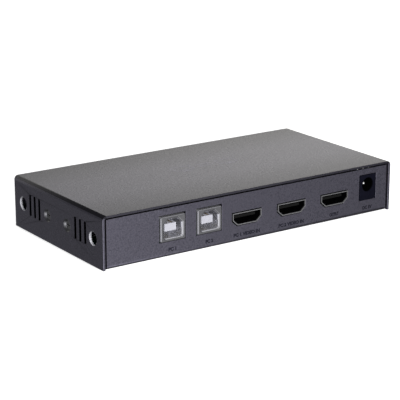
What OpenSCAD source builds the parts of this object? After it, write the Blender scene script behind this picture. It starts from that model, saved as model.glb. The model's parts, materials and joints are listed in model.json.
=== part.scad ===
// Two-computer switch box: a folded steel case with a row of sockets on each long end,
// a circuit board on standoffs, and one sprung select button.
// The origin is the middle of the footprint on the table, +Z is up, the rear panel with the
// computer sockets faces +Y and the front panel with the button faces -Y.

/* [Case] */
// Width of the case along X
case_w = 148; // [140:1:180]
// Depth of the case along Y
case_d = 73.4; // [68:0.2:100]
// Height of the case without its feet
case_h = 22.5; // [20:0.1:30]
// Thickness of the steel sheet
sheet = 1; // [0.8:0.1:1.2]
// Outer radius of the cover's two long bends
cover_bend = 1.8; // [1.5:0.1:3]
// Outer radius of the base's bends
base_bend = 1.5; // [1.3:0.1:2.5]
// Overhang of the cover past each end panel
lip = 0.6; // [0.6:0.1:2]
// Gap between the cover's roof and the end panels
seam = 0.6; // [0.2:0.1:0.8]
// Gap between the cover's sides and the base
side_gap = 0.7; // [0.1:0.1:0.8]

/* [Case sides] */
// Diameter of each open hole for a mounting ear's screw
ear_hole_d = 5.8; // [3.5:0.1:6]
// Distance along Y from the middle to an ear hole
ear_hole_y = 29; // [26:0.1:32]
// Distance along Y from the middle to a cover screw
cover_screw_y = 8.2; // [6:0.1:9]
// Height of the ear holes and the cover screws above the base's underside
side_hole_z = 11.7; // [9:0.1:14]
// Height of the vent slots' middle above the base's underside
vent_z = 12.4; // [9:0.1:14]
// Distance along Y from the middle to the nearest vent slot
vent_first_y = 15; // [14:0.1:16]
// Distance between vent slots
vent_pitch = 3.9; // [3:0.1:5]
// Number of vent slots in each group
vent_count = 3; // [2:1:3]
// Width of a vent slot
vent_w = 1.6; // [1:0.1:2]
// Length of a vent slot
vent_len = 9.4; // [6:0.1:12]

/* [Feet] */
// Diameter of a rubber foot
foot_d = 9; // [6:0.5:12]
// Height of a rubber foot
foot_h = 1.4; // [1:0.1:3]
// Distance from the case's edges to a foot's centre
foot_inset = 13; // [12:0.5:18]

/* [Circuit board] */
// Height of the standoffs above the base sheet
standoff_h = 4.1; // [3:0.1:5]
// Thickness of the circuit board
board_t = 1.6; // [1.6:0.2:2]
// Distance along X from the middle to a board screw
board_screw_x = 66; // [64:0.5:67]
// Distance along Y from the middle to a board screw
board_screw_y = 13.5; // [12:0.5:15]

/* [Rear sockets] */
// Place along X of the first USB type B socket
usb_b_first_x = 41; // [38:0.1:44]
// Distance between the USB type B sockets
usb_b_pitch = 18; // [16:0.5:20]
// Place along X of the first video socket
video_first_x = 3.9; // [2:0.1:5]
// Distance between the video sockets
video_pitch = 23.4; // [20:0.1:24]
// Place along X of the power jack
jack_x = -61.6; // [-64:0.1:-60]

/* [Front panel] */
// Place along X of the first USB type A socket
usb_a_first_x = 61; // [58:0.5:62]
// Distance between the USB type A sockets
usb_a_pitch = 18; // [17:0.5:19]
// Place along X of the select button
button_x = -40; // [-50:1:-30]
// Diameter of the button's cap
button_d = 7.4; // [6:0.1:8]
// How far the button stands out of the panel
button_proud = 2; // [1.8:0.1:3]
// How far the button can be pressed
button_travel = 1.5; // [1:0.1:1.8]
// Distance from the button to each light
led_offset = 13; // [10:0.5:20]

/* [View] */
// One sub-part by name, or all of them

/* [Hidden] */
$fn = 48;
copper = "goldenrod";
tin = "gainsboro";
floor_z = foot_h;
roof_z = floor_z + case_h;
panel_y = case_d / 2 - lip;
panel_h = case_h - sheet - seam;
base_w = case_w - 2 * (sheet + side_gap);
side_z = floor_z + side_hole_z;

// Tabs that rise from the base inside the cover's sides and take the cover screws.
tab_w = 24;
tab_h = 16;
tab_relief = 1;

// M3 countersunk cover screws, M3 pan head board screws and their threads.
screw_r = 1.5;
thread_gap = 0.02;
sink_r = 2.75;
head_r = 1.9;
head_sunk = 0.8;
head_recess = [2.2, 0.9];
cover_screw_len = 6;
board_screw_len = 5;
pan_head_r = 2.75;
pan_head_h = 1.9;
collar_r = 2.5;
collar_len = 1;

// Circuit board, held clear of the tabs and of the end panels.
board_w = base_w - 2 * sheet - 3;
board_d = 2 * (panel_y - sheet) - 1;
board_z = floor_z + sheet + standoff_h;
board_top = board_z + board_t;
leg_reach = board_t + 1;
leg_gap = 0.15;
standoff_hex = 5;
standoff_boss_r = 2.1;

// Socket sizes by their standards, each in its own frame: the mouth faces +Y at y = 0,
// and z = 0 is the top of the board.
usb_b = [12.05, 16, 10.6];
usb_b_proud = 0.55;
usb_b_bend = 0.6;
usb_b_flare = 0.8;
usb_b_nose = 0.4;
usb_b_mouth = [8.45, 7.78];
usb_b_corner = 2;
usb_b_floor_r = 0.8;
usb_b_gap = [0.45, 0.7];
usb_b_tongue = [5.6, 3.18];
usb_b_depth = 8.8;
usb_b_wall = 0.4;
video = [14, 4.55];
video_proud = 0.3;
video_floor_w = 9.6;
video_slope_z = -0.3;
video_wall = 0.35;
video_gap = 0.4;
video_leaf = [1.4, 3.6];
video_shell_d = 10.5;
video_z = 3.3;
video_depth = 7.5;
video_tongue = [11.2, 1.1];
video_tongue_z = 0.45;
video_pins = 19;
video_pin_pitch = 0.5;
usb_a = [12.5, 5.12];
usb_a_proud = 0.3;
usb_a_wall = 0.3;
usb_a_d = 13.5;
usb_a_z = 3.9;
usb_a_depth = 9;
usb_a_tongue = [11.1, 1.84];
usb_a_rim = 0.45;
jack = [9, 14, 11.3];
jack_proud = 0.1;
jack_gap = 0.25;
jack_bore_r = 3.2;
jack_bore_z = 6.8;
jack_bore_depth = 9.5;
jack_pin_r = 1;
jack_root_r = 1.3;
tongue_back = 2.2;
strip_t = 0.25;

// Select switch: the cap and plunger slide 1.5 mm in the housing against the spring.
axis_z = 5.3;
button_gap = 0.25;
flange_r = button_d / 2 + 1;
flange_t = 0.9;
cap_back = 4.5;
plunger_w = 2.5;
plunger_head = 4.4;
plunger_head_t = 2;
housing = [8.4, 8.5, 9.4];
housing_y = 6.5;
housing_wall = 1.6;
spring_r = 1.55;
spring_wire_r = 0.18;
spring_turns = 4;
led_r = 1.5;
led_proud = 1;

usb_b_count = 2;
video_count = 3;
usb_a_count = 4;

// ---- Helpers ----

// Draws an outline in X and Z and runs it along Y, centred.
module along_y(length) {
    rotate([90, 0, 0]) linear_extrude(length, center = true) children();
}

// Draws an outline in Y and Z and runs it along X, centred.
module along_x(length) {
    rotate([90, 0, 90]) linear_extrude(length, center = true) children();
}

// Runs an outline in X and Z from y = from back to y = to.
module back_from(from, to) {
    translate([0, (from + to) / 2, 0]) along_y(abs(from - to)) children();
}

// A box centred on X that spans the given ranges of Y and Z.
module span_box(w, y, z, x = 0) {
    translate([x - w / 2, y[0], z[0]]) cube([w, y[1] - y[0], z[1] - z[0]]);
}

// Places a socket's own frame on the rear panel.
module rear(x, proud) {
    translate([x, panel_y + proud, board_top]) children();
}

// Places a socket's own frame on the front panel.
module front(x, proud = 0) {
    translate([x, -panel_y - proud, board_top]) rotate(180) children();
}

module at_usb_b(k) {
    rear(usb_b_x(k), usb_b_proud) children();
}

module at_video(k) {
    rear(video_x(k), video_proud) children();
}

module at_jack() {
    rear(jack_x, jack_proud) children();
}

module at_usb_a(k) {
    front(usb_a_x(k), usb_a_proud) children();
}

// Both sides of the case, with +X pointing out of the side.
module each_side() {
    for (side = [0, 1]) mirror([side, 0, 0]) children();
}

// The four places of a rectangle of holes or feet.
module each_corner(x, y) {
    for (sx = [-1, 1], sy = [-1, 1]) translate([sx * x, sy * y, 0]) children();
}

// ---- Case ----

// A rectangle that stands on the X axis with its two upper corners rounded.
module arch(w, h, r) {
    translate([-w / 2, 0]) square([w, h - r]);
    translate([r - w / 2, 0]) square([w - 2 * r, h]);
    for (side = [-1, 1]) translate([side * (w / 2 - r), h - r]) circle(r);
}

// A folded sheet's section: an arch with the same arch, one sheet smaller, taken out.
module folded(w, h, r) {
    difference() {
        arch(w, h, r);
        translate([0, -sheet]) arch(w - 2 * sheet, h, r - sheet);
    }
}

// The same section standing on its closed side.
module tray(w, h, r) {
    translate([0, h]) mirror([0, 1]) folded(w, h, r);
}

module vent_outline() {
    square([vent_w, vent_len - vent_w], center = true);
    for (end = [-1, 1]) translate([0, end * (vent_len - vent_w) / 2]) circle(vent_w / 2);
}

module top_cover() {
    color("#46474c") difference() {
        translate([0, 0, floor_z]) along_y(case_d) folded(case_w, case_h, cover_bend);
        each_side() translate([case_w / 2, 0, side_z]) {
            for (end = [-1, 1]) {
                translate([0, end * ear_hole_y, 0]) rotate([0, 90, 0])
                    cylinder(h = 3 * sheet, r = ear_hole_d / 2, center = true);
                translate([0, end * cover_screw_y, 0]) rotate([0, 90, 0]) screw_sink();
                for (k = [0 : vent_count - 1])
                    translate([0, end * (vent_first_y + k * vent_pitch), vent_z - side_hole_z])
                        along_x(3 * sheet) vent_outline();
            }
        }
    }
}

// Countersink for one cover screw, from the sheet's outer face at z = 0 inwards.
module screw_sink() {
    translate([0, 0, -sink_r]) cylinder(h = 2 * sink_r, r1 = 0, r2 = 2 * sink_r);
}

module base_chassis() {
    color("#3d3f49") difference() {
        union() {
            difference() {
                translate([0, 0, floor_z]) along_x(base_w) tray(2 * panel_y, panel_h, base_bend);
                each_side() span_box(
                    2 * base_bend,
                    [-tab_w / 2 - tab_relief, tab_w / 2 + tab_relief],
                    [floor_z - sheet, floor_z + 2 * sheet],
                    base_w / 2
                );
            }
            translate([0, 0, floor_z]) along_y(tab_w) tray(base_w, tab_h, base_bend);
            each_side() for (end = [-1, 1])
                translate([base_w / 2 - sheet - collar_len, end * cover_screw_y, side_z])
                    rotate([0, 90, 0]) cylinder(h = collar_len + sheet / 2, r = collar_r);
        }
        each_side() for (end = [-1, 1])
            translate([base_w / 2, end * cover_screw_y, side_z])
                rotate([0, 90, 0]) cylinder(h = 6 * sheet, r = screw_r, center = true);
        each_corner(board_screw_x, board_screw_y)
            translate([0, 0, floor_z]) cylinder(h = 4 * sheet, r = standoff_boss_r, center = true);
        rear_cutouts();
        front_cutouts();
    }
}

module rear_cutouts() {
    through = [-3 * sheet, 3 * sheet];
    for (k = [0 : usb_b_count - 1])
        at_usb_b(k) span_box(usb_b[0] + 2 * usb_b_gap[0], through, [-0.2, usb_b[2] + usb_b_gap[1]]);
    for (k = [0 : video_count - 1])
        at_video(k) back_from(through[0], through[1]) video_outline(video_wall + video_gap);
    at_jack() span_box(jack[0] + 2 * jack_gap, through, [-0.2, jack[2] + jack_gap]);
}

module front_cutouts() {
    for (k = [0 : usb_a_count - 1])
        at_usb_a(k) translate([0, 0, usb_a_z])
            cube([usb_a[0] + 1.8, 6 * sheet, usb_a[1] + 1.8], center = true);
    front(button_x) translate([0, 0, axis_z]) rotate([90, 0, 0])
        cylinder(h = 6, r = button_d / 2 + button_gap, center = true);
    for (side = [-1, 1])
        front(button_x + side * led_offset) translate([0, 0, axis_z]) rotate([90, 0, 0])
            cylinder(h = 6, r = led_r + 0.1, center = true);
}

// One screw along +Z with its head's top at z = 0.
module cross_recess(w, depth) {
    for (turn = [0, 90]) rotate(turn) cube([w, w / 5, 2 * depth], center = true);
}

module cover_screws() {
    color("#2c2d31") each_side() for (end = [-1, 1])
        translate([case_w / 2 - head_sunk, end * cover_screw_y, side_z]) rotate([0, 90, 0]) difference() {
            union() {
                translate([0, 0, -cover_screw_len])
                    cylinder(h = cover_screw_len - 0.1, r = screw_r - thread_gap);
                translate([0, 0, screw_r - head_r])
                    cylinder(h = head_r - screw_r, r1 = screw_r - thread_gap, r2 = head_r);
            }
            cross_recess(head_recess[0], head_recess[1]);
        }
}

module rubber_foot(k) {
    sx = k % 2 == 0 ? -1 : 1;
    sy = k < 2 ? -1 : 1;
    edge = 0.4;
    color("#1b1b1c") translate([sx * (case_w / 2 - foot_inset), sy * (case_d / 2 - foot_inset), 0])
        rotate_extrude() {
            square([foot_d / 2 - edge, foot_h]);
            translate([0, edge]) square([foot_d / 2, foot_h - edge]);
            translate([foot_d / 2 - edge, edge]) circle(edge);
        }
}

// ---- Board ----

module main_board() {
    color("#1f5a38") difference() {
        translate([0, 0, board_z + board_t / 2]) cube([board_w, board_d, board_t], center = true);
        each_corner(board_screw_x, board_screw_y)
            translate([0, 0, board_z]) cylinder(h = 4 * board_t, r = screw_r + 0.1, center = true);
        for (k = [0 : usb_b_count - 1]) at_usb_b(k) usb_b_legs(leg_gap);
        for (k = [0 : video_count - 1]) at_video(k) video_legs(leg_gap);
        at_jack() jack_legs(leg_gap);
        for (k = [0 : usb_a_count - 1]) at_usb_a(k) usb_a_legs(leg_gap);
        front(button_x) switch_legs(leg_gap);
        for (side = [-1, 1]) front(button_x + side * led_offset) led_legs(leg_gap);
        translate([0, 0, board_top]) capacitor_legs(leg_gap);
        translate([0, 0, board_top]) crystal_legs(leg_gap);
    }
}

module board_standoffs() {
    color(tin) each_corner(board_screw_x, board_screw_y) difference() {
        union() {
            translate([0, 0, floor_z]) cylinder(h = sheet, r = standoff_boss_r);
            translate([0, 0, floor_z + sheet])
                cylinder(h = standoff_h, r = standoff_hex / 2 / cos(30), $fn = 6);
        }
        translate([0, 0, floor_z - 1]) cylinder(h = standoff_h + 4, r = screw_r);
    }
}

module board_screws() {
    color(tin) each_corner(board_screw_x, board_screw_y) translate([0, 0, board_top]) difference() {
        union() {
            rotate_extrude() {
                square([pan_head_r, pan_head_h - 0.5]);
                square([pan_head_r - 0.5, pan_head_h]);
                translate([pan_head_r - 0.5, pan_head_h - 0.5]) circle(0.5);
            }
            translate([0, 0, -board_screw_len])
                cylinder(h = board_screw_len + 0.5, r = screw_r - thread_gap);
        }
        translate([0, 0, pan_head_h]) cross_recess(2.8, 1.1);
    }
}

// A pair of flat legs through the board at x = side * w / 2.
module leg_pair(w, y, width, thick, gap) {
    for (side = [-1, 1])
        span_box(
            thick + 2 * gap,
            [y - width / 2 - gap, y + width / 2 + gap],
            [-leg_reach, gap > 0 ? 1 : 0.6],
            side * (w - thick) / 2
        );
}

// A row of thin square pins through the board.
module pin_row(xs, y, size, top, gap) {
    for (x = xs)
        span_box(
            size + 2 * gap,
            [y - size / 2 - gap, y + size / 2 + gap],
            [-leg_reach, gap > 0 ? 1 : top],
            x
        );
}

// ---- USB type B sockets ----

function usb_b_x(k) = usb_b_first_x - k * usb_b_pitch;
function usb_b_mid() = usb_b[2] / 2;

// The mouth's outline: round corners below, and two upper corners cut off at 45 degrees.
module usb_b_outline(grow = 0) {
    x = usb_b_mouth[0] / 2 + grow;
    z = usb_b_mouth[1] / 2 + grow;
    r = usb_b_floor_r + grow;
    cut = usb_b_corner + (2 - sqrt(2)) * grow;
    translate([0, usb_b_mid()]) {
        polygon([[-x, r - z], [x, r - z], [x, z - cut], [x - cut, z], [cut - x, z], [-x, z - cut]]);
        translate([r - x, -z]) square([2 * (x - r), r + 0.1]);
        for (side = [-1, 1]) translate([side * (x - r), r - z]) circle(r);
    }
}

// Points of a quarter circle of radius r, as steps sideways and forwards.
function quarter_round(r) = [for (a = [0 : 30 : 90]) r * [1 - cos(a), sin(a)]];

// The mouth's flared edge: a quarter round from the face down to the mouth's own outline.
module usb_b_flare() {
    steps = quarter_round(usb_b_flare);
    for (k = [0 : len(steps) - 2]) hull() for (step = [steps[k], steps[k + 1]])
        translate([0, step[1] - usb_b_flare, 0]) along_y(0.01) usb_b_outline(step[0]);
}

// A rectangle with round corners that stands on the X axis.
module round_rectangle(w, h, r) {
    intersection() {
        arch(w, h, r);
        translate([0, h]) mirror([0, 1]) arch(w, h, r);
    }
}

// The shell's block, with its front edge rounded over.
module usb_b_block() {
    steps = quarter_round(usb_b_nose);
    slice = 0.01;
    back_from(-usb_b[1], -usb_b_nose) round_rectangle(usb_b[0], usb_b[2], usb_b_bend);
    for (k = [0 : len(steps) - 2]) hull() for (step = [steps[k], steps[k + 1]])
        translate([0, step[1] - usb_b_nose - slice / 2, step[0]]) along_y(slice)
            round_rectangle(usb_b[0] - 2 * step[0], usb_b[2] - 2 * step[0], usb_b_bend);
}

module usb_b_legs(gap = 0) {
    leg_pair(usb_b[0], -4.7, 2.2, usb_b_wall, gap);
    if (gap > 0) usb_b_pins(gap);
}

module usb_b_pins(gap = 0) {
    pin_row([-1.25, 1.25], -12, 0.6, usb_b_mid() - usb_b_tongue[1] / 2 + strip_t, gap);
    pin_row([-1.25, 1.25], -14, 0.6, usb_b_mid() + usb_b_tongue[1] / 2, gap);
}

module usb_b_shell() {
    color("silver") {
        difference() {
            usb_b_block();
            difference() {
                span_box(
                    usb_b[0] - 2 * usb_b_wall,
                    [-usb_b[1] - 1, -usb_b_wall],
                    [usb_b_wall, usb_b[2] - usb_b_wall]
                );
                back_from(-usb_b_depth, 0) usb_b_outline(usb_b_wall);
            }
            back_from(-usb_b_depth - 1, 1) usb_b_outline();
            usb_b_flare();
            span_box(4.5, [-usb_b[1] - 1, -11], [-1, 1]);
        }
        usb_b_legs();
    }
}

// Strips on the tongue's two faces, each ending in a pin through the board.
module usb_b_contacts() {
    top = usb_b_mid() + usb_b_tongue[1] / 2;
    bottom = usb_b_mid() - usb_b_tongue[1] / 2;
    color(copper) {
        for (x = [-1.25, 1.25]) {
            span_box(1, [-14.3, -tongue_back - 0.8], [top - strip_t, top], x);
            span_box(1, [-12.3, -tongue_back - 0.8], [bottom, bottom + strip_t], x);
        }
        usb_b_pins();
    }
}

module usb_b_insulator() {
    inner = usb_b_wall + 0.05;
    color("white") difference() {
        union() {
            span_box(
                usb_b[0] - 2 * inner,
                [-usb_b[1] + 0.3, -usb_b_depth - 0.1],
                [inner, usb_b[2] - inner]
            );
            translate([0, 0, usb_b_mid() - usb_b_tongue[1] / 2])
                span_box(usb_b_tongue[0], [-usb_b_depth - 1, -tongue_back], [0, usb_b_tongue[1]]);
        }
        usb_b_contacts();
    }
}

// ---- Video sockets ----

function video_x(k) = video_first_x - k * video_pitch;

// The mouth's outline: the lower corners slope in to a narrower floor.
module video_outline(grow = 0) {
    x = video[0] / 2 + grow;
    z = video[1] / 2 + grow;
    floor_x = video_floor_w / 2 + 0.5 * grow;
    slope_z = video_slope_z - 0.5 * grow;
    translate([0, video_z])
        polygon([[x, z], [x, slope_z], [floor_x, -z], [-floor_x, -z], [-x, slope_z], [-x, z]]);
}

module video_legs(gap = 0) {
    for (y = [-3, -8.5]) leg_pair(video[0] + 2 * video_wall, y, 1.4, video_wall, gap);
}

// The four places in the roof and the floor of a sprung leaf that grips the plug.
module each_video_leaf() {
    for (x = [-3.2, 3.2], end = [0, 1])
        translate([x, -tongue_back - video_leaf[1], video_z]) mirror([0, 0, end])
            translate([0, 0, -video[1] / 2 - video_wall]) children();
}

module video_leaf_slots() {
    each_video_leaf() span_box(video_leaf[0] + 0.4, [0, video_leaf[1]], [-1, 1]);
}

module video_leaves() {
    tilt = 5;
    each_video_leaf() rotate([tilt, 0, 0])
        span_box(video_leaf[0], [-0.2, video_leaf[1] - 0.4], [0, video_wall]);
}

module video_shell() {
    wall = video_wall;
    color("silver") {
        difference() {
            union() {
                back_from(-video_shell_d, 0) video_outline(wall);
                for (y = [-3, -8.5])
                    span_pair(video[0] + 2 * wall, y, 1.4, wall, [-leg_reach, video_z]);
            }
            back_from(-video_shell_d - 1, 1) video_outline();
            video_leaf_slots();
        }
        video_leaves();
    }
}

// Two plates beside a shell, one on each side.
module span_pair(w, y, width, thick, z) {
    for (side = [-1, 1])
        span_box(thick, [y - width / 2, y + width / 2], z, side * (w - thick) / 2);
}

// Flat pins on both faces of the tongue, alternately above and below, with tails on the board.
module video_contacts() {
    mid = video_z + video_tongue_z;
    half = video_tongue[1] / 2;
    t = 0.15;
    width = 0.28;
    color(copper) for (k = [0 : video_pins - 1]) {
        x = (k - (video_pins - 1) / 2) * video_pin_pitch;
        z = k % 2 == 0 ? mid + half - t : mid - half;
        span_box(width, [-video_shell_d - 1, -tongue_back - 0.5], [z, z + t], x);
        span_box(width, [-video_shell_d - 1, -video_shell_d - 1 + t], [0, z + t], x);
        span_box(width, [-video_shell_d - 2.2, -video_shell_d - 1 + t], [0, t], x);
    }
}

module video_insulator() {
    half = video_tongue[1] / 2;
    mid = video_z + video_tongue_z;
    color("#1d1d1f") difference() {
        union() {
            back_from(-video_shell_d, -video_depth) video_outline(-0.05);
            span_box(12, [-video_shell_d - 1.5, -video_shell_d], [0.3, video_z + video[1] / 2]);
            span_box(video_tongue[0], [-video_depth - 1, -tongue_back], [mid - half, mid + half]);
        }
        video_contacts();
    }
}

// ---- Power jack ----

module jack_legs(gap = 0) {
    span_box(2.4 + 2 * gap, [-13.4 - gap, -13 + gap], [-leg_reach, gap > 0 ? 1 : 0.5]);
    span_box(2.4 + 2 * gap, [-8.2 - gap, -7.8 + gap], [-leg_reach, gap > 0 ? 1 : 0.5]);
}

module power_jack_body() {
    color("#17181c") difference() {
        union() {
            span_box(jack[0], [-3.2, 0], [0, jack[2]]);
            span_box(jack[0], [-jack[1], -3.2], [0, jack_bore_z]);
            translate([0, -3.2, jack_bore_z]) rotate([90, 0, 0])
                cylinder(h = jack[1] - 3.2, r = jack[0] / 2);
        }
        translate([0, 1, jack_bore_z]) rotate([90, 0, 0])
            cylinder(h = jack_bore_depth + 1, r = jack_bore_r);
        translate([0, 1 - jack_bore_depth, jack_bore_z]) rotate([90, 0, 0])
            cylinder(h = jack[1], r = jack_root_r);
        span_box(2.4, [-13.4, -13], [-1, jack_bore_z + 1.6]);
        span_box(2.4, [-8.2, -7.8], [-1, jack_bore_z - jack_bore_r + 0.5]);
    }
}

// Centre pin with a rounded tip, riveted to its own terminal at the back.
module power_jack_pin() {
    tip = tongue_back + jack_pin_r;
    color(tin) {
        translate([0, -tip, jack_bore_z]) {
            sphere(jack_pin_r);
            rotate([90, 0, 0]) cylinder(h = jack_bore_depth - tip, r = jack_pin_r);
        }
        translate([0, -jack_bore_depth, jack_bore_z]) rotate([90, 0, 0])
            cylinder(h = 13.4 - jack_bore_depth, r = jack_root_r);
        span_box(2.4, [-13.4, -13], [-leg_reach, jack_bore_z + 1.6]);
    }
}

// Leaf along the bore's floor that touches the plug's sleeve.
module power_jack_contacts() {
    leaf_top = jack_bore_z - jack_bore_r + 0.5;
    color(tin) {
        span_box(2.4, [-8.2, -7.8], [-leg_reach, leaf_top]);
        span_box(2, [-8.2, -3.6], [leaf_top - 0.25, leaf_top]);
    }
}

// ---- USB type A sockets ----

function usb_a_x(k) = usb_a_first_x - k * usb_a_pitch;

module usb_a_legs(gap = 0) {
    leg_pair(usb_a[0] + 2 * usb_a_wall, -10, 2.4, usb_a_wall, gap);
    if (gap > 0) usb_a_pins(gap);
}

module usb_a_pins(gap = 0) {
    pin_row([-3.5, -1, 1, 3.5], -12.6, 0.5, usb_a_z + 0.6, gap);
}

// A hollow rectangle around the mouth.
module usb_a_ring(inner, outer) {
    difference() {
        square([usb_a[0] + 2 * outer, usb_a[1] + 2 * outer], center = true);
        square([usb_a[0] + 2 * inner, usb_a[1] + 2 * inner], center = true);
    }
}

module usb_a_shell() {
    wall = usb_a_wall;
    color("silver") {
        difference() {
            translate([0, 0, usb_a_z]) back_from(-usb_a_d, 0) usb_a_ring(0, wall);
            for (x = [-3.2, 3.2]) span_box(2.4, [-7.5, -2.5], [-1, 12], x);
            span_box(9, [-usb_a_d - 1, -11.5], [-1, usb_a_z - 1]);
        }
        translate([0, 0, usb_a_z]) back_from(-wall, 0) usb_a_ring(0, wall + usb_a_rim);
        for (x = [-3.2, 3.2], side = [-1, 1])
            translate([x, -7.6, usb_a_z + side * (usb_a[1] / 2 + wall / 2)])
                rotate([-side * 4, 0, 0]) translate([-0.9, 0, -wall / 2]) cube([1.8, 4.6, wall]);
        span_pair(usb_a[0] + 2 * wall, -10, 2.4, wall, [-leg_reach, usb_a_z]);
    }
}

// Strips under the tongue, each ending in a pin through the board.
module usb_a_contacts() {
    z = usb_a_z + 0.35;
    color(copper) {
        for (x = [-3.5, -1, 1, 3.5])
            span_box(1, [-12.85, -tongue_back - 0.8], [z, z + strip_t], x);
        usb_a_pins();
    }
}

module usb_a_insulator() {
    gap = 0.05;
    z = usb_a_z + 0.35;
    color("#202124") difference() {
        union() {
            span_box(
                usb_a[0] - 2 * gap,
                [-usb_a_d + 0.1, -usb_a_depth],
                [usb_a_z - usb_a[1] / 2 + gap, usb_a_z + usb_a[1] / 2 - gap]
            );
            span_box(usb_a_tongue[0], [-usb_a_depth - 1, -tongue_back], [z, z + usb_a_tongue[1]]);
        }
        usb_a_contacts();
    }
}

// ---- Select button ----

// Turns a shape drawn along +Z so that it points out of the panel on the button's axis.
module on_axis(y = 0) {
    translate([0, y, axis_z]) rotate([-90, 0, 0]) children();
}

module select_button() {
    r = button_d / 2;
    edge = 0.6;
    color("#1a1b1d") difference() {
        on_axis(-cap_back) rotate_extrude() {
            length = cap_back + button_proud;
            square([r - edge, length]);
            square([r, length - edge]);
            translate([r - edge, length - edge]) circle(edge);
            translate([0, cap_back - sheet - 0.3 - flange_t]) square([flange_r, flange_t]);
        }
        on_axis(-cap_back - 1) linear_extrude(cap_back) square(plunger_w + 0.1, center = true);
    }
}

module switch_plunger() {
    head_y = housing_y + housing_wall + 0.2;
    color("white") {
        on_axis(-head_y) linear_extrude(head_y - 1.1) square(plunger_w, center = true);
        on_axis(-head_y - plunger_head_t) linear_extrude(plunger_head_t)
            square(plunger_head, center = true);
    }
}

function spring_front() = housing_y + housing_wall + 0.2 + plunger_head_t;
function spring_back() = housing_y + housing[1] - 1.2;

module switch_housing() {
    color("#26272b") difference() {
        span_box(housing[0], [-housing_y - housing[1], -housing_y], [0, housing[2]]);
        on_axis(-housing_y - housing_wall - 1) linear_extrude(9) square(plunger_w + 0.4, center = true);
        on_axis(-spring_back())
            linear_extrude(spring_back() - housing_y - housing_wall)
            square(plunger_head + 0.4, center = true);
        switch_legs();
    }
}

// Points of one ring of the spring's wire, at angle a around the coil.
function spring_ring(a, y, sides) = [
    for (k = [0 : sides - 1])
        let (r = spring_r + spring_wire_r * cos(360 * k / sides))
        [r * cos(a), r * sin(a), y + spring_wire_r * sin(360 * k / sides)]
];

module switch_spring() {
    sides = 6;
    steps = 14 * spring_turns;
    length = spring_back() - spring_front() - 2 * spring_wire_r - 0.1;
    points = [
        for (k = [0 : steps])
            each spring_ring(360 * spring_turns * k / steps, length * k / steps, sides)
    ];
    walls = [
        for (k = [0 : steps - 1], s = [0 : sides - 1])
            let (a = k * sides + s, b = k * sides + (s + 1) % sides)
            [b, a, a + sides, b + sides]
    ];
    ends = [
        [for (s = [0 : sides - 1]) s],
        [for (s = [sides - 1 : -1 : 0]) steps * sides + s]
    ];
    color(tin) on_axis(-spring_back() + spring_wire_r + 0.05)
        polyhedron(points, concat(walls, ends));
}

module switch_legs(gap = 0) {
    for (y = [-housing_y - 2, -housing_y - 4.3, -housing_y - 6.6])
        pin_row([-2.7, 2.7], y, 0.5, 2, gap);
}

module switch_terminals() {
    color(tin) switch_legs();
}

// ---- Lights ----

module led(k) {
    side = k == 0 ? -1 : 1;
    color("#cfd8d2") front(button_x + side * led_offset) {
        on_axis(led_proud - led_r) {
            sphere(led_r);
            translate([0, 0, -3.2]) cylinder(h = 3.2, r = led_r);
            translate([0, 0, -4.2]) cylinder(h = 1, r = 1.9);
        }
    }
}

function led_back() = led_proud - led_r - 4.2;

module led_legs(gap = 0) {
    pin_row([-1.27, 1.27], led_back() - 2.5, 0.5, axis_z + 0.25, gap);
}

module led_wires() {
    led_legs();
    for (x = [-1.27, 1.27])
        span_box(0.5, [led_back() - 2.75, led_back()], [axis_z - 0.25, axis_z + 0.25], x);
}

module led_leads() {
    color(tin) for (side = [-1, 1]) front(button_x + side * led_offset) led_wires();
}

module led_holder(k) {
    side = k == 0 ? -1 : 1;
    color("#151517") front(button_x + side * led_offset) difference() {
        span_box(4.8, [led_back() - 4.5, led_back() - 0.1], [0, axis_z + 2]);
        led_wires();
    }
}

// ---- Parts on the board ----

// A flat chip body with a bevelled corner mark, standing just above the board.
module chip_body(w, d, h) {
    difference() {
        translate([0, 0, 0.1 + h / 2]) cube([w, d, h], center = true);
        translate([1 - w / 2, d / 2 - 1, 0.1 + h]) cylinder(h = 0.4, r = 0.4, center = true);
    }
}

// Gull-wing leads along the two sides that face +Y and -Y.
module lead_rows(count, pitch, reach) {
    for (side = [0, 180]) rotate(side) for (k = [0 : count - 1]) {
        x = (k - (count - 1) / 2) * pitch;
        span_box(0.25, [reach, reach + 0.6], [0.6, 0.75], x);
        span_box(0.25, [reach + 0.45, reach + 0.6], [0, 0.75], x);
        span_box(0.25, [reach + 0.45, reach + 1.2], [0, 0.15], x);
    }
}

video_chip = [12, 12, 1.4];
video_chip_at = [-20, 3];
hub_chip = [7, 7, 1.4];
hub_chip_at = [28, 0];

module on_board(at) {
    translate([at[0], at[1], board_top]) children();
}

module video_switch_chip() {
    color("#1c1c1e") on_board(video_chip_at) chip_body(video_chip[0], video_chip[1], video_chip[2]);
}

module video_switch_leads() {
    color(tin) on_board(video_chip_at) for (turn = [0, 90])
        rotate(turn) lead_rows(20, 0.5, video_chip[0] / 2);
}

module usb_hub_chip() {
    color("#1c1c1e") on_board(hub_chip_at) chip_body(hub_chip[0], hub_chip[1], hub_chip[2]);
}

module usb_hub_leads() {
    color(tin) on_board(hub_chip_at) for (turn = [0, 90])
        rotate(turn) lead_rows(12, 0.5, hub_chip[0] / 2);
}

module control_chip() {
    color("#1c1c1e") on_board([-46, -4]) {
        chip_body(12.8, 7.5, 2.3);
        lead_rows(10, 1.27, 3.75);
    }
}

module voltage_regulator() {
    color("#1c1c1e") on_board([-56, 4]) {
        chip_body(6.5, 3.5, 1.6);
        span_box(3, [1.75, 3.4], [0, 0.5]);
        for (x = [-2.3, 0, 2.3]) span_box(0.7, [-3.4, -1.75], [0, 0.5], x);
    }
}

module crystal_legs(gap = 0) {
    for (at = [[10, 4], [-2, -12]])
        translate([at[0], at[1], 0]) pin_row([-2.44, 2.44], 0, 0.45, 0.4, gap);
}

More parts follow.
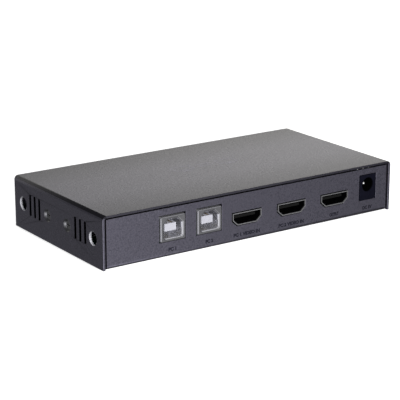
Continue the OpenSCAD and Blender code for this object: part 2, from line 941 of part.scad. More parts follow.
module crystals() {
    color("silver") on_board([0, 0]) {
        for (at = [[10, 4], [-2, -12]]) translate([at[0], at[1], 0.3]) {
            linear_extrude(0.4) crystal_outline(11.2, 4.7);
            linear_extrude(3.4) crystal_outline(10.2, 3.9);
        }
        crystal_legs();
    }
}

module crystal_outline(w, d) {
    square([w - d, d], center = true);
    for (side = [-1, 1]) translate([side * (w - d) / 2, 0]) circle(d / 2);
}

capacitor_places = [[-44, 9], [-36, 9], [56, 4]];

module capacitor_legs(gap = 0) {
    for (at = capacitor_places)
        translate([at[0], at[1], 0]) pin_row([-1.25, 1.25], 0, 0.5, 0.5, gap);
}

module filter_capacitors() {
    r = 3.15;
    color("#20242f") on_board([0, 0]) {
        for (at = capacitor_places) translate([at[0], at[1], 0.2]) rotate_extrude() {
            square([r - 0.3, 7.5]);
            translate([0, 0.3]) square([r, 6.9]);
            for (z = [0.3, 7.2]) translate([r - 0.3, z]) circle(0.3);
        }
        capacitor_legs();
    }
}

module power_inductor() {
    color("#3b3d42") on_board([-56, -14]) {
        cylinder(h = 0.8, r = 3.4);
        cylinder(h = 4.2, r = 2.4);
        translate([0, 0, 3.4]) cylinder(h = 0.8, r = 3.4);
    }
}

// Small resistors and capacitors: a row behind each video socket and a block by the hub chip.
module small_passives() {
    color("#8a7a5c") on_board([0, 0]) {
        for (k = [0 : video_count - 1], n = [-3 : 3])
            span_box(0.8, [17, 18.6], [0, 0.5], video_x(k) + n * 2);
        for (k = [0 : usb_a_count - 1], n = [-1, 0, 1])
            span_box(0.8, [-19.6, -18], [0, 0.5], usb_a_x(k) + n * 2.5);
        for (n = [-2 : 2], side = [-1, 1])
            span_box(0.8, [side * 9 - 0.8, side * 9 + 0.8], [0, 0.5], hub_chip_at[0] + n * 2);
    }
}

top_cover();
base_chassis();
cover_screws();
for (k = [0 : 3])
    rubber_foot(k);
main_board();
board_standoffs();
board_screws();
for (k = [0 : usb_b_count - 1]) {
    at_usb_b(k) usb_b_shell();
    at_usb_b(k) usb_b_insulator();
    at_usb_b(k) usb_b_contacts();
}
for (k = [0 : video_count - 1]) {
    at_video(k) video_shell();
    at_video(k) video_insulator();
    at_video(k) video_contacts();
}
at_jack() power_jack_body();
at_jack() power_jack_pin();
at_jack() power_jack_contacts();
for (k = [0 : usb_a_count - 1]) {
    at_usb_a(k) usb_a_shell();
    at_usb_a(k) usb_a_insulator();
    at_usb_a(k) usb_a_contacts();
}
front(button_x) select_button();
front(button_x) switch_housing();
front(button_x) switch_plunger();
front(button_x) switch_spring();
front(button_x) switch_terminals();
for (k = [0, 1]) {
    led(k);
    led_holder(k);
}
led_leads();
video_switch_chip();
video_switch_leads();
usb_hub_chip();
usb_hub_leads();
control_chip();
voltage_regulator();
crystals();
filter_capacitors();
power_inductor();
small_passives();
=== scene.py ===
import json
import math

import bpy
from mathutils import Matrix, Vector


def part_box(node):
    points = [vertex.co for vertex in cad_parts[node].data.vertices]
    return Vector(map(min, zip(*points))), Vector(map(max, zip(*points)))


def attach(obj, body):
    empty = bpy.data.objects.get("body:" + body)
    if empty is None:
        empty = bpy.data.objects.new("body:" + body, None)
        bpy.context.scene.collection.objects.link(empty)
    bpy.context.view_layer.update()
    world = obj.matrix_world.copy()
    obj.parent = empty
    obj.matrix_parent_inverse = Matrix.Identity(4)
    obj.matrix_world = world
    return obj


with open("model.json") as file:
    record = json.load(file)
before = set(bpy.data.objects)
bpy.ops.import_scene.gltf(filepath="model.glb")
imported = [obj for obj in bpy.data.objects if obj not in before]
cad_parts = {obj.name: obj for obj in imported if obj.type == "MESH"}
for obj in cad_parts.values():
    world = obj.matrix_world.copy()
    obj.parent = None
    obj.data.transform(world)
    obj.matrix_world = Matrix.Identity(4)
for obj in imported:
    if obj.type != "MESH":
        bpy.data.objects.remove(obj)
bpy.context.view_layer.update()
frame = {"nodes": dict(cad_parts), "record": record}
NODES = frame["nodes"]
MM = 0.001
PANEL_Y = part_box("base_chassis")[1].y
ROOF_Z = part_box("top_cover")[1].z


# ---- Camera: the direction, distance and lens that show the case as the photograph does ----

CAMERA_AZIMUTH = math.radians(34.40)
CAMERA_ELEVATION = math.radians(16.63)
CAMERA_ROLL = math.radians(-0.05)
CAMERA_DISTANCE = 0.66809
CAMERA_LENS = 137.1
CAMERA_SENSOR = 36
CAMERA_TARGET = Vector((0.736, -3.127, 8.646)) * MM


def make_camera():
    """Looks at the target from beyond the rear panel (+Y), a little round towards +X."""
    back = Vector((
        math.sin(CAMERA_AZIMUTH) * math.cos(CAMERA_ELEVATION),
        math.cos(CAMERA_AZIMUTH) * math.cos(CAMERA_ELEVATION),
        math.sin(CAMERA_ELEVATION),
    ))
    data = bpy.data.cameras.new("camera")
    data.sensor_width = CAMERA_SENSOR
    data.lens = CAMERA_LENS
    data.clip_start = 0.01
    data.clip_end = 50
    camera = bpy.data.objects.new("camera", data)
    bpy.context.scene.collection.objects.link(camera)
    right = Vector((0, 0, 1)).cross(back).normalized()
    up = back.cross(right)
    turned_right = math.cos(CAMERA_ROLL) * right + math.sin(CAMERA_ROLL) * up
    turned_up = back.cross(turned_right)
    turn = Matrix((turned_right, turned_up, back)).transposed()
    camera.matrix_world = Matrix.Translation(CAMERA_TARGET + back * CAMERA_DISTANCE) @ turn.to_4x4()
    bpy.context.scene.camera = camera


# ---- Material building ----

class Surface:
    """A procedural material: a Principled shader, and helpers that add detail to it in object space."""

    def __init__(self, name, colour, roughness, metallic=0.0, **sockets):
        self.material = bpy.data.materials.new(name)
        self.material.use_nodes = True
        self.tree = self.material.node_tree
        self.shader = self.tree.nodes["Principled BSDF"]
        self.colour = colour
        self.roughness = roughness
        self.shader.inputs["Base Color"].default_value = (*colour, 1)
        self.shader.inputs["Roughness"].default_value = roughness
        self.shader.inputs["Metallic"].default_value = metallic
        for socket, value in sockets.items():
            self.shader.inputs[socket.replace("_", " ")].default_value = value
        self.place = self.tree.nodes.new("ShaderNodeTexCoord").outputs["Object"]
        self.normal = None

    def node(self, kind, **settings):
        made = self.tree.nodes.new(kind)
        for key, value in settings.items():
            setattr(made, key, value)
        return made

    def link(self, source, target):
        self.tree.links.new(source, target)

    def stretched(self, scale):
        """Object coordinates in millimetres, stretched by scale along each axis."""
        mapping = self.node("ShaderNodeMapping")
        mapping.inputs["Scale"].default_value = [s / MM for s in scale]
        self.link(self.place, mapping.inputs["Vector"])
        return mapping.outputs["Vector"]

    def noise(self, size, detail=3.0, stretch=(1, 1, 1)):
        """Noise whose features are about size millimetres across."""
        texture = self.node("ShaderNodeTexNoise")
        texture.inputs["Scale"].default_value = 1
        texture.inputs["Detail"].default_value = detail
        self.link(self.stretched([s / size for s in stretch]), texture.inputs["Vector"])
        return texture.outputs["Fac"]

    def cells(self, size, output="Color"):
        """Random cells about size millimetres across."""
        texture = self.node("ShaderNodeTexVoronoi")
        texture.inputs["Scale"].default_value = 1
        self.link(self.stretched([1 / size] * 3), texture.inputs["Vector"])
        return texture.outputs[output]

    def ramp(self, source, low, high, start=0.3, end=0.7):
        """Maps a 0 to 1 value to a number between low and high, over the stretch start to end."""
        mapped = self.node("ShaderNodeMapRange", clamp=True)
        mapped.inputs["From Min"].default_value = start
        mapped.inputs["From Max"].default_value = end
        mapped.inputs["To Min"].default_value = low
        mapped.inputs["To Max"].default_value = high
        self.link(source, mapped.inputs["Value"])
        return mapped.outputs["Result"]

    def tint(self, source, other, low=0.0, high=1.0, start=0.3, end=0.7):
        """Mixes another colour over the base colour where source is high."""
        mix = self.node("ShaderNodeMix", data_type="RGBA")
        target = self.shader.inputs["Base Color"]
        if target.is_linked:
            self.link(target.links[0].from_socket, mix.inputs["A"])
        else:
            mix.inputs["A"].default_value = (*self.colour, 1)
        mix.inputs["B"].default_value = (*other, 1)
        self.link(self.ramp(source, low, high, start, end), mix.inputs["Factor"])
        self.link(mix.outputs["Result"], target)

    def fill(self, mask, other):
        """Lays another colour over the base colour where a mask of 0 and 1 is 1."""
        self.tint(mask, other, start=0.4, end=0.6)

    def shine(self, source, spread):
        """Lets the roughness wander by spread either way."""
        low, high = self.roughness - spread, self.roughness + spread
        self.link(self.ramp(source, low, high), self.shader.inputs["Roughness"])

    def math(self, operation, first, second=0.0):
        """One arithmetic step on two numbers or sockets."""
        step = self.node("ShaderNodeMath", operation=operation)
        for socket, value in zip(step.inputs, (first, second)):
            if isinstance(value, (int, float)):
                socket.default_value = value
            else:
                self.link(value, socket)
        return step.outputs["Value"]

    def axes(self):
        """The place's X, Y and Z, each as a socket."""
        split = self.node("ShaderNodeSeparateXYZ")
        self.link(self.place, split.inputs["Vector"])
        return split.outputs

    def near_side_hole(self, y, z, radius):
        """1 within radius of the axes along X at the places y and -y, height z, and 0 elsewhere."""
        place = self.axes()
        across = self.math("SUBTRACT", self.math("ABSOLUTE", place["Y"]), y)
        up = self.math("SUBTRACT", place["Z"], z)
        squares = self.math("ADD", self.math("MULTIPLY", across, across), self.math("MULTIPLY", up, up))
        return self.math("LESS_THAN", squares, radius * radius)

    def inside_box(self, x, y, z):
        """1 where |X| is under x, |Y| under y and Z under z, and 0 elsewhere."""
        place = self.axes()
        within_x = self.math("LESS_THAN", self.math("ABSOLUTE", place["X"]), x)
        within_y = self.math("LESS_THAN", self.math("ABSOLUTE", place["Y"]), y)
        within_z = self.math("LESS_THAN", place["Z"], z)
        return self.math("MULTIPLY", within_x, self.math("MULTIPLY", within_y, within_z))

    def over(self, axis, limit, both_ways=False):
        """1 where the place along the axis is over limit, either way from the middle if asked."""
        along = self.axes()[axis]
        if both_ways:
            along = self.math("ABSOLUTE", along)
        return self.math("GREATER_THAN", along, limit)

    def behind_panel(self, panel, depth):
        """Rises from 0 at either end panel to 1 at depth behind it."""
        outward = self.math("ABSOLUTE", self.axes()["Y"])
        return self.math("DIVIDE", self.math("SUBTRACT", panel, outward), depth)

    def bump(self, source, height):
        """Adds relief of height millimetres, on top of any relief before it."""
        relief = self.node("ShaderNodeBump")
        relief.inputs["Strength"].default_value = 1
        relief.inputs["Distance"].default_value = height * MM
        self.link(source, relief.inputs["Height"])
        if self.normal:
            self.link(self.normal, relief.inputs["Normal"])
        self.normal = relief.outputs["Normal"]
        self.link(self.normal, self.shader.inputs["Normal"])


def scaled(colour, factor):
    return tuple(min(1.0, c * factor) for c in colour)


# ---- Materials ----

PAINT = (0.190, 0.183, 0.235)
PAINT_METALLIC = 0.97
GAP_SHADOW = (0.006, 0.006, 0.008)
BARE_STEEL = (0.62, 0.62, 0.67)
BARE_METALLIC = 0.5


def coated_steel(name, colour, roughness, sparkle):
    """Satin metallic paint: fine sparkling grain, faint mottling, and a slightly uneven gloss."""
    paint = Surface(name, colour, roughness, metallic=PAINT_METALLIC)
    paint.tint(paint.noise(0.6, 4), scaled(colour, 1 + sparkle), high=0.8)
    paint.tint(paint.cells(0.5), scaled(colour, 1 - 0.8 * sparkle), high=0.5, start=0.5, end=0.9)
    paint.tint(paint.noise(30, 2), scaled(colour, 1.15), high=0.6)
    paint.shine(paint.noise(0.8, 2), 0.05)
    paint.bump(paint.noise(0.35, 3), 0.010)
    paint.bump(paint.cells(0.3, output="Distance"), 0.006)
    return paint


# Painted shade: how deep the roof's paint reaches, how far in from the end panels it darkens, and the bend
# lines' extent.
ROOF_DEPTH = 1 * MM
ROOF_SHADE_FADE = 25 * MM
BEND_SHADE_WIDTH = 1.8 * MM
BEND_SHADE_DEPTH = 0.9 * MM
# How far in along X, Y and Z the painted black shade inside starts, at the sides and under the roof.
WALL_SHADE_INSET = (0.04 * MM, 1.8 * MM, 3 * MM)
CEILING_SHADE_INSET = (2 * MM, 0.8 * MM, 0.5 * MM)
# How far past a screw's head and an ear hole's edge the bare metal reaches.
SINK_RIM = 0.9 * MM
EAR_RIM = 0.12 * MM


def moved_in(corner, inset):
    """A box's high corner, moved in by inset along each axis."""
    return [place - step for place, step in zip(corner, inset)]


def cover_paint():
    """The cover's paint: painted shade at the roof ends and bend lines, painted black shade inside, bare in
    sinks and ear holes.
    """
    paint = coated_steel("cover_paint", PAINT, 0.31, 0.5)
    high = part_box("top_cover")[1]
    # Painted shade: the roof darkens towards both end panels, and the faces below it stay as they are.
    below_roof = paint.math("SUBTRACT", 1.0, paint.over("Z", high.z - ROOF_DEPTH))
    roof_end_shade_fade = paint.math("MAXIMUM", paint.behind_panel(PANEL_Y, ROOF_SHADE_FADE), below_roof)
    paint.tint(roof_end_shade_fade, scaled(PAINT, 0.68), low=1.0, high=0.0, start=0.0, end=1.0)
    # Painted shade: a dark band along the bend lines between the roof and the sides.
    near_side = paint.over("X", high.x - BEND_SHADE_WIDTH, both_ways=True)
    bend_shade = paint.math("MULTIPLY", near_side, paint.over("Z", high.z - BEND_SHADE_DEPTH))
    paint.fill(bend_shade, scaled(PAINT, 0.35))
    # Painted shade: black inside the cover, behind the sides and under the roof.
    wall_shade = paint.inside_box(*moved_in(high, WALL_SHADE_INSET))
    ceiling_shade = paint.inside_box(*moved_in(high, CEILING_SHADE_INSET))
    paint.fill(paint.math("MAXIMUM", wall_shade, ceiling_shade), GAP_SHADOW)
    low_screw, high_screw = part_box("cover_screws")
    head = (high_screw.z - low_screw.z) / 2
    sinks = paint.near_side_hole(high_screw.y - head, low_screw.z + head, head + SINK_RIM)
    paint.fill(sinks, scaled(BARE_STEEL, 0.42))
    ears = frame_mount("ear_holes_plus_x")
    half_spacing = ears["dims"]["spacing_x_mm"] / 2 * MM
    radius = ears["dims"]["hole_r_mm"] * MM
    ear_walls = paint.near_side_hole(half_spacing, ears["pos_m"][2], radius + EAR_RIM)
    paint.fill(ear_walls, BARE_STEEL)
    paint.link(paint.ramp(ear_walls, PAINT_METALLIC, BARE_METALLIC), paint.shader.inputs["Metallic"])
    return paint.material


def base_paint():
    """The base's paint, dark along its top and +X edges, which stand in the cover's shadow."""
    paint = coated_steel("base_paint", PAINT, 0.34, 0.9)
    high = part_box("base_chassis")[1]
    side_edge = paint.over("X", high.x - 0.25 * MM)
    top_edge = paint.over("Z", high.z - 0.1 * MM)
    paint.fill(paint.math("MAXIMUM", side_edge, top_edge), GAP_SHADOW)
    return paint.material


def frame_mount(name):
    return next(mount for mount in frame["record"]["mounts"] if mount["name"] == name)


def plated_metal(name, colour, roughness, size=0.6):
    """Nickel or tin plate: rolled streaks, smudges, and tiny dents."""
    plate = Surface(name, colour, roughness, metallic=1.0)
    plate.tint(plate.noise(2.5, 4), scaled(colour, 0.8), high=0.55)
    plate.tint(plate.noise(size, 3, (1, 0.12, 1)), scaled(colour, 0.9), high=0.5)
    plate.shine(plate.noise(1.2, 3), 0.06)
    plate.bump(plate.noise(size, 2, (1, 0.1, 1)), 0.0015)
    plate.bump(plate.noise(3, 2), 0.006)
    return plate.material


def socket_metal(name, colour, roughness, inside, proud):
    """Smooth plate of a socket's shell, that turns to another colour from proud of the panel inwards: painted
    light inside the USB sockets, painted shade inside the video sockets.
    """
    plate = Surface(name, colour, roughness, metallic=0.9)
    plate.tint(plate.noise(2.5, 3), scaled(colour, 0.88), high=0.5)
    # Painted light and shade inside the socket's mouth.
    plate.tint(plate.behind_panel(PANEL_Y + proud, 1 * MM), inside, start=0.0, end=0.6)
    plate.shine(plate.noise(1.2, 3), 0.04)
    plate.bump(plate.noise(1.5, 2, (1, 0.1, 1)), 0.0012)
    return plate.material


def moulded_plastic(name, colour, roughness, grain=0.25, height=0.006, specular=0.5):
    """Moulded plastic: fine spark-eroded texture, faint flow clouds."""
    plastic = Surface(name, colour, roughness, Specular_IOR_Level=specular)
    plastic.tint(plastic.noise(3, 3), scaled(colour, 0.82), high=0.6)
    plastic.tint(plastic.noise(grain * 2, 2), scaled(colour, 1.25), high=0.35)
    plastic.shine(plastic.noise(1.5, 3), 0.06)
    plastic.bump(plastic.cells(grain, output="Distance"), height)
    return plastic.material


def jack_plastic():
    """Dull black plastic of the power jack, with painted shade that makes it blacker inside its bore."""
    plastic = Surface("jack_plastic", (0.0035, 0.0035, 0.007), 0.6, Specular_IOR_Level=0.03)
    plastic.tint(plastic.noise(2, 3), (0.0025, 0.0025, 0.005), high=0.6)
    # Painted shade: near black inside the bore.
    plastic.tint(plastic.behind_panel(PANEL_Y, 1.5 * MM), (0.0005, 0.0005, 0.0005), start=0.0, end=0.6)
    plastic.shine(plastic.noise(1.5, 3), 0.06)
    plastic.bump(plastic.cells(0.25, output="Distance"), 0.004)
    return plastic.material


def gold_flash(name, colour):
    """Thin gold on contact strips, paler where it is worn through."""
    gold = Surface(name, colour, 0.26, metallic=1.0)
    gold.tint(gold.noise(0.8, 4), scaled(colour, 1.15), high=0.8, start=0.5, end=0.75)
    gold.shine(gold.noise(0.4, 3), 0.08)
    gold.bump(gold.noise(0.3, 2, (1, 0.1, 1)), 0.003)
    return gold.material


def foot_rubber():
    """Soft matte rubber with a dusty bloom."""
    rubber = Surface("foot_rubber", (0.018, 0.018, 0.019), 0.82)
    rubber.tint(rubber.noise(1.5, 4), (0.05, 0.05, 0.052), high=0.8)
    rubber.tint(rubber.noise(0.3, 2), (0.01, 0.01, 0.01), high=0.5)
    rubber.shine(rubber.noise(0.8, 3), 0.1)
    rubber.bump(rubber.noise(0.25, 3), 0.02)
    return rubber.material


def circuit_board():
    """Green solder mask over straight copper tracks, with plated dots."""
    mask = Surface("circuit_board", (0.005, 0.040, 0.018), 0.35, Coat_Weight=0.4, Coat_Roughness=0.12)
    tracks = mask.node("ShaderNodeTexBrick", offset=0.37, squash=1.0)
    tracks.inputs["Scale"].default_value = 1
    tracks.inputs["Mortar Size"].default_value = 0.09
    tracks.inputs["Brick Width"].default_value = 7.0
    tracks.inputs["Row Height"].default_value = 0.8
    mask.link(mask.stretched((1, 1, 1)), tracks.inputs["Vector"])
    mask.tint(tracks.outputs["Fac"], (0.012, 0.080, 0.032), start=0.2, end=0.8)
    mask.tint(mask.cells(2.3, output="Distance"), (0.55, 0.47, 0.25), low=1.0, high=0.0, start=0.10, end=0.16)
    mask.tint(mask.noise(12, 3), (0.003, 0.025, 0.012), high=0.6)
    mask.shine(mask.noise(2, 3), 0.06)
    mask.bump(tracks.outputs["Fac"], 0.02)
    return mask.material


def chip_epoxy():
    """Black chip resin with a fine laser-dulled top."""
    resin = Surface("chip_epoxy", (0.020, 0.020, 0.022), 0.55)
    resin.tint(resin.noise(0.4, 4), (0.050, 0.050, 0.052), high=0.7)
    resin.tint(resin.noise(4, 2), (0.012, 0.012, 0.013), high=0.6)
    resin.shine(resin.noise(1, 3), 0.08)
    resin.bump(resin.noise(0.15, 3), 0.008)
    return resin.material


def capacitor_sleeve():
    """Shrink sleeve of a capacitor: glossy dark blue with faint rings."""
    sleeve = Surface("capacitor_sleeve", (0.012, 0.018, 0.055), 0.28, Coat_Weight=0.5, Coat_Roughness=0.1)
    sleeve.tint(sleeve.noise(2, 3, (0.1, 0.1, 1)), (0.03, 0.04, 0.10), high=0.7)
    sleeve.shine(sleeve.noise(1, 3), 0.07)
    sleeve.bump(sleeve.noise(0.8, 3), 0.01)
    return sleeve.material


def ferrite():
    """Grey sintered ferrite with a dry, pitted skin."""
    stone = Surface("ferrite", (0.045, 0.045, 0.048), 0.7, metallic=0.2)
    stone.tint(stone.noise(0.5, 5), (0.10, 0.10, 0.10), high=0.7)
    stone.tint(stone.cells(0.6, output="Distance"), (0.02, 0.02, 0.02), low=0.8, high=0.0, start=0.1, end=0.4)
    stone.shine(stone.noise(0.7, 3), 0.1)
    stone.bump(stone.noise(0.25, 4), 0.03)
    return stone.material


def chip_ceramic():
    """Tiny ceramic capacitors and resistors: brown to tan, with tinned flecks."""
    body = Surface("chip_ceramic", (0.30, 0.22, 0.14), 0.5)
    body.tint(body.cells(2.1), (0.05, 0.045, 0.04), high=0.9, start=0.4, end=0.6)
    body.tint(body.noise(0.4, 3), (0.5, 0.45, 0.38), high=0.4)
    body.shine(body.noise(0.5, 2), 0.1)
    body.bump(body.noise(0.2, 3), 0.01)
    return body.material


def light_lens():
    """Milky clear epoxy of an indicator light that is off."""
    lens = Surface(
        "light_lens", (0.78, 0.84, 0.80), 0.22,
        Transmission_Weight=0.55, IOR=1.5, Coat_Weight=0.3, Coat_Roughness=0.08,
    )
    lens.tint(lens.noise(0.9, 3), (0.62, 0.72, 0.66), high=0.7)
    lens.shine(lens.noise(0.6, 2), 0.07)
    lens.bump(lens.noise(0.5, 2), 0.006)
    return lens.material


def print_ink(name, colour, roughness, metallic=0.0):
    """Screen-printed ink: a little thin in places."""
    ink = Surface(name, colour, roughness, metallic)
    ink.tint(ink.noise(0.3, 4), scaled(colour, 1.8), high=0.5)
    ink.shine(ink.noise(0.5, 2), 0.08)
    ink.bump(ink.noise(0.2, 2), 0.004)
    return ink.material


MATERIALS = {
    "cover_paint": cover_paint(),
    "base_paint": base_paint(),
    "dark_steel": plated_metal("dark_steel", (0.42, 0.42, 0.44), 0.40),
    "foot_rubber": foot_rubber(),
    "board_laminate": circuit_board(),
    "plated_steel": plated_metal("plated_steel", (0.66, 0.67, 0.68), 0.34),
    # The USB sockets' shells are lighter inside: painted light in their mouths.
    "socket_steel": socket_metal("socket_steel", (0.27, 0.27, 0.29), 0.26, (0.74, 0.74, 0.79), 0.45 * MM),
    "contact_gold": gold_flash("contact_gold", (0.83, 0.60, 0.24)),
    "tinned_wire": plated_metal("tinned_wire", (0.68, 0.69, 0.70), 0.38, 0.3),
    "white_plastic": moulded_plastic("white_plastic", (0.22, 0.22, 0.245), 0.45),
    "black_plastic": moulded_plastic("black_plastic", (0.010, 0.010, 0.011), 0.42, specular=0.3),
    "jack_plastic": jack_plastic(),
    "jack_metal": plated_metal("jack_metal", (0.78, 0.78, 0.79), 0.2, 0.3),
    "button_plastic": moulded_plastic("button_plastic", (0.014, 0.014, 0.015), 0.5, 0.3, 0.012),
    "led_lens": light_lens(),
    "chip_plastic": chip_epoxy(),
    "capacitor_sleeve": capacitor_sleeve(),
    "ferrite": ferrite(),
    "passive_ceramic": chip_ceramic(),
}
# Painted shade: the video sockets' parts are darker than their slots' materials, for the shade in their
# narrow mouths.
PAINTED_SHADE_VIDEO_MATERIALS = {
    "video_shell": socket_metal("video_shell_steel", (0.45, 0.45, 0.47), 0.28, GAP_SHADOW, 0.15 * MM),
    "video_insulator": moulded_plastic("video_insulator_plastic", (0.004, 0.004, 0.004), 0.5, specular=0.1),
    "video_contacts": gold_flash("video_contact_gold", (0.10, 0.07, 0.03)),
}
REAR_INK = print_ink("rear_ink", (0.004, 0.004, 0.008), 0.6)
COVER_INK = print_ink("cover_ink", scaled(PAINT, 1.5), 0.36, 0.9)


# How far a node's sharp edges are rounded, in millimetres, by its name without its number.
EDGE_ROUNDING = {
    "top_cover": 0.14,
    "base_chassis": 0.10,
    "rubber_foot": 0.10,
    "usb_b_shell": 0.10,
    "video_shell": 0.05,
}
OTHER_ROUNDING = 0.04


def dress_nodes():
    """Gives each CAD node the material of its slot, and rounds its sharp edges a little."""
    slots = {part["node"]: part["material_slot"] for part in frame["record"]["subparts"]}
    for name, obj in NODES.items():
        kind = name.rstrip("_1234")
        obj.data.materials.clear()
        obj.data.materials.append(PAINTED_SHADE_VIDEO_MATERIALS.get(kind, MATERIALS[slots[name]]))
        round_edges(obj, EDGE_ROUNDING.get(kind, OTHER_ROUNDING) * MM)


def round_edges(obj, width):
    """Joins the mesh's split edges and bevels those that are sharp."""
    weld = obj.modifiers.new("weld", "WELD")
    weld.merge_threshold = 0.002 * MM
    bevel = obj.modifiers.new("bevel", "BEVEL")
    bevel.width = width
    bevel.segments = 2
    bevel.limit_method = "ANGLE"
    bevel.angle_limit = math.radians(35)
    bevel.use_clamp_overlap = True


# ---- Printed marks ----

PRINT_T = 0.012 * MM
# A letter's height over the thickening of its strokes.
HEIGHT_TO_WEIGHT = 15
LABEL_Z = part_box("base_chassis")[0].z + 3 * MM
LABEL_HEIGHT = 2.0 * MM
# The words under each rear socket, and their width in millimetres.
LABELS = {
    "usb_b_shell_1": ("PC 1", 3.8),
    "usb_b_shell_2": ("PC 2", 3.8),
    "video_shell_1": ("PC 1 VIDEO IN", 13.6),
    "video_shell_2": ("PC 2 VIDEO IN", 13.6),
    "video_shell_3": ("OUTPUT", 5.1),
    "power_jack_body": ("DC 5V", 5.3),
}
# The front's marks: how far each stands below its light or the button, and the digits' height.
DIGIT_DROP = 4 * MM
DIGIT_HEIGHT = 2.4 * MM
SELECT_DROP = 6.6 * MM
# The cover's mark: its place on the roof, and each screen's distance from its middle in millimetres.
MARK_X = -2.5 * MM
MARK_Y = -4 * MM
SCREEN_X = 11.5


def middle(node):
    low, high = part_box(node)
    return (low + high) / 2


def placed_print(name, curve, ink, place, turn):
    """Turns a flat curve into a printed mark that rides on the case."""
    curve.extrude = PRINT_T
    curve.materials.append(ink)
    obj = bpy.data.objects.new(name, curve)
    bpy.context.scene.collection.objects.link(obj)
    obj.location = place
    obj.rotation_euler = turn
    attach(obj, "case")
    return obj


def panel_words(name, words, x, z, height, rear=True):
    """Words printed on the rear or front panel, read from outside."""
    curve = bpy.data.curves.new(name, "FONT")
    curve.body = words
    curve.size = height
    curve.align_x = "CENTER"
    curve.align_y = "CENTER"
    curve.offset = height / HEIGHT_TO_WEIGHT
    curve.resolution_u = 3
    y = PANEL_Y if rear else -PANEL_Y
    facing = math.pi if rear else 0
    return placed_print(name, curve, REAR_INK, (x, y, z), (math.pi / 2, 0, facing))


def rear_label(node, words, width):
    """A label under a rear socket, stretched to its width in millimetres."""
    label = panel_words("print_" + node, words, middle(node).x, LABEL_Z, LABEL_HEIGHT)
    bpy.context.view_layer.update()
    label.scale.x = width * MM / label.dimensions.x


def box_outline(x, y, w, h, r):
    """A rectangle w by h centred on x and y, with corners of radius r, in millimetres."""
    outline = []
    for quarter, (sx, sy) in enumerate([(1, 1), (-1, 1), (-1, -1), (1, -1)]):
        for step in range(4):
            angle = math.radians(90 * quarter + 30 * step)
            outline.append((
                x + sx * (w / 2 - r) + r * math.cos(angle),
                y + sy * (h / 2 - r) + r * math.sin(angle),
            ))
    return outline


def screen_outlines(x):
    """A screen on its stand: the bezel, the picture, the neck and the foot."""
    return [
        box_outline(x, 0.9, 10, 6.2, 0.8),
        box_outline(x, 0.9, 8.6, 4.8, 0.3),
        box_outline(x, -2.75, 1.2, 0.9, 0.1),
        box_outline(x, -3.5, 5, 0.7, 0.3),
    ]


def arrow_outline(x, y, length, toward):
    """An arrow along X that points to +X or -X."""
    head, half, shaft = 2.0, 1.2, 0.35
    tip = toward * length / 2
    neck = tip - toward * head
    below = [(-tip, -shaft), (neck, -shaft), (neck, -half)]
    above = [(neck, half), (neck, shaft), (-tip, shaft)]
    corners = below + [(tip, 0)] + above
    return [(x + dx, y + dy) for dx, dy in corners]


def cover_mark():
    """Two screens with an arrow each way between them, printed on the cover to be read from the rear."""
    curve = bpy.data.curves.new("cover_mark", "CURVE")
    curve.dimensions = "2D"
    curve.fill_mode = "BOTH"
    outlines = screen_outlines(-SCREEN_X) + screen_outlines(SCREEN_X)
    outlines += [arrow_outline(0, 2.2, 8, 1), arrow_outline(0, -0.4, 8, -1)]
    for corners in outlines:
        spline = curve.splines.new("POLY")
        spline.points.add(len(corners) - 1)
        spline.use_cyclic_u = True
        for point, (x, y) in zip(spline.points, corners):
            point.co = (x * MM, y * MM, 0, 1)
    placed_print("cover_mark", curve, COVER_INK, (MARK_X, MARK_Y, ROOF_Z), (0, 0, math.pi))


# ---- Stage and light ----

FLOOR_GLOW = 0.8
FLOOR_HALF_WIDTH = 6.0
AMBIENT = 0.06
WHITE = (1.0, 1.0, 1.0)
WARM = (1.0, 0.99, 0.89)
# Each soft lamp in the surround: its direction, how sharply it is bounded, its strength and colour.
SKY_LAMPS = [
    ((-0.60, -0.78, 0.10), 25, 0.95, WARM),
    ((-0.80, -0.55, 0.10), 25, 0.70, WARM),
    ((0.22, 0.95, -0.30), 8, 2.05, WHITE),
    ((0.55, -0.78, -0.29), 8, 0.075, WHITE),
    ((0.79, 0.54, -0.25), 14, 1.50, WHITE),
    ((-0.54, 0.29, 0.79), 16, 1.00, WHITE),
    ((-0.35, -0.90, -0.35), 14, 1.20, WHITE),
    ((0.10, -0.95, 0.25), 26, 0.40, WARM),
    ((0.00, 0.95, 0.30), 10, 0.35, WARM),
    ((0.43, 0.58, 0.69), 20, 1.80, WHITE),
]


def area_light(name, place, size, power, target):
    """A softbox that lights matte surfaces, and isn't seen by the camera or mirrored in the metal."""
    data = bpy.data.lights.new(name, "AREA")
    data.shape = "RECTANGLE"
    data.size, data.size_y = size
    data.energy = power
    lamp = bpy.data.objects.new(name, data)
    bpy.context.scene.collection.objects.link(lamp)
    lamp.location = place
    aim = Vector(target) - Vector(place)
    lamp.rotation_euler = aim.to_track_quat("-Z", "Y").to_euler()
    lamp.visible_camera = False
    lamp.visible_glossy = False


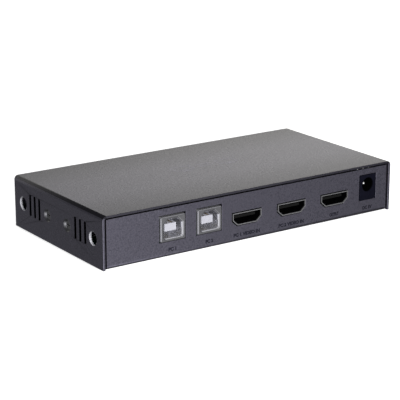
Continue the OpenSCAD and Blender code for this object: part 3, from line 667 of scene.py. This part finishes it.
def make_floor():
    mesh = bpy.data.meshes.new("floor")
    half = FLOOR_HALF_WIDTH
    corners = [(-half, -half, 0), (half, -half, 0), (half, half, 0), (-half, half, 0)]
    mesh.from_pydata(corners, [], [(0, 1, 2, 3)])
    floor = bpy.data.objects.new("floor", mesh)
    bpy.context.scene.collection.objects.link(floor)
    paper = Surface("floor_paper", (0.9, 0.9, 0.9), 0.9)
    paper.shader.inputs["Emission Color"].default_value = (1, 1, 1, 1)
    paper.shader.inputs["Emission Strength"].default_value = FLOOR_GLOW
    mesh.materials.append(paper.material)
    floor.visible_glossy = False
    floor.visible_diffuse = False


def make_world():
    """A dim surround with broad soft lamps in it."""
    world = bpy.data.worlds.new("world")
    world.use_nodes = True
    bpy.context.scene.world = world
    tree = world.node_tree
    direction = tree.nodes.new("ShaderNodeTexCoord").outputs["Generated"]

    def step(kind, operation, first, second):
        node = tree.nodes.new(kind)
        node.operation = operation
        for socket, value in zip(node.inputs, (first, second)):
            if isinstance(value, bpy.types.NodeSocket):
                tree.links.new(value, socket)
            else:
                socket.default_value = value
        return node

    total = (AMBIENT, AMBIENT, AMBIENT)
    for toward, sharpness, strength, colour in SKY_LAMPS:
        facing = step("ShaderNodeVectorMath", "DOT_PRODUCT", direction, Vector(toward).normalized())
        short = step("ShaderNodeMath", "SUBTRACT", facing.outputs["Value"], 1.0)
        fade = step("ShaderNodeMath", "MULTIPLY", short.outputs["Value"], sharpness)
        glow = step("ShaderNodeMath", "POWER", math.e, fade.outputs["Value"])
        lamp = tree.nodes.new("ShaderNodeVectorMath")
        lamp.operation = "SCALE"
        lamp.inputs[0].default_value = [strength * c for c in colour]
        tree.links.new(glow.outputs["Value"], lamp.inputs["Scale"])
        total = step("ShaderNodeVectorMath", "ADD", lamp.outputs["Vector"], total).outputs["Vector"]
    background = tree.nodes["Background"]
    tree.links.new(total, background.inputs["Color"])
    background.inputs["Strength"].default_value = 1


make_camera()
dress_nodes()

for node, (words, width) in LABELS.items():
    rear_label(node, words, width)

for node, digit in (("led_1", "1"), ("led_2", "2")):
    light = middle(node)
    panel_words("print_" + node, digit, light.x, light.z - DIGIT_DROP, DIGIT_HEIGHT, rear=False)
button = middle("select_button")
panel_words("print_select", "SELECT", button.x, button.z - SELECT_DROP, LABEL_HEIGHT, rear=False)
cover_mark()

make_floor()
make_world()
area_light("near_key", place=(0.10, 0.26, 0.10), size=(0.12, 0.10), power=1.70, target=(0.04, 0.03, 0.01))

bpy.context.scene.view_settings.view_transform = "Standard"
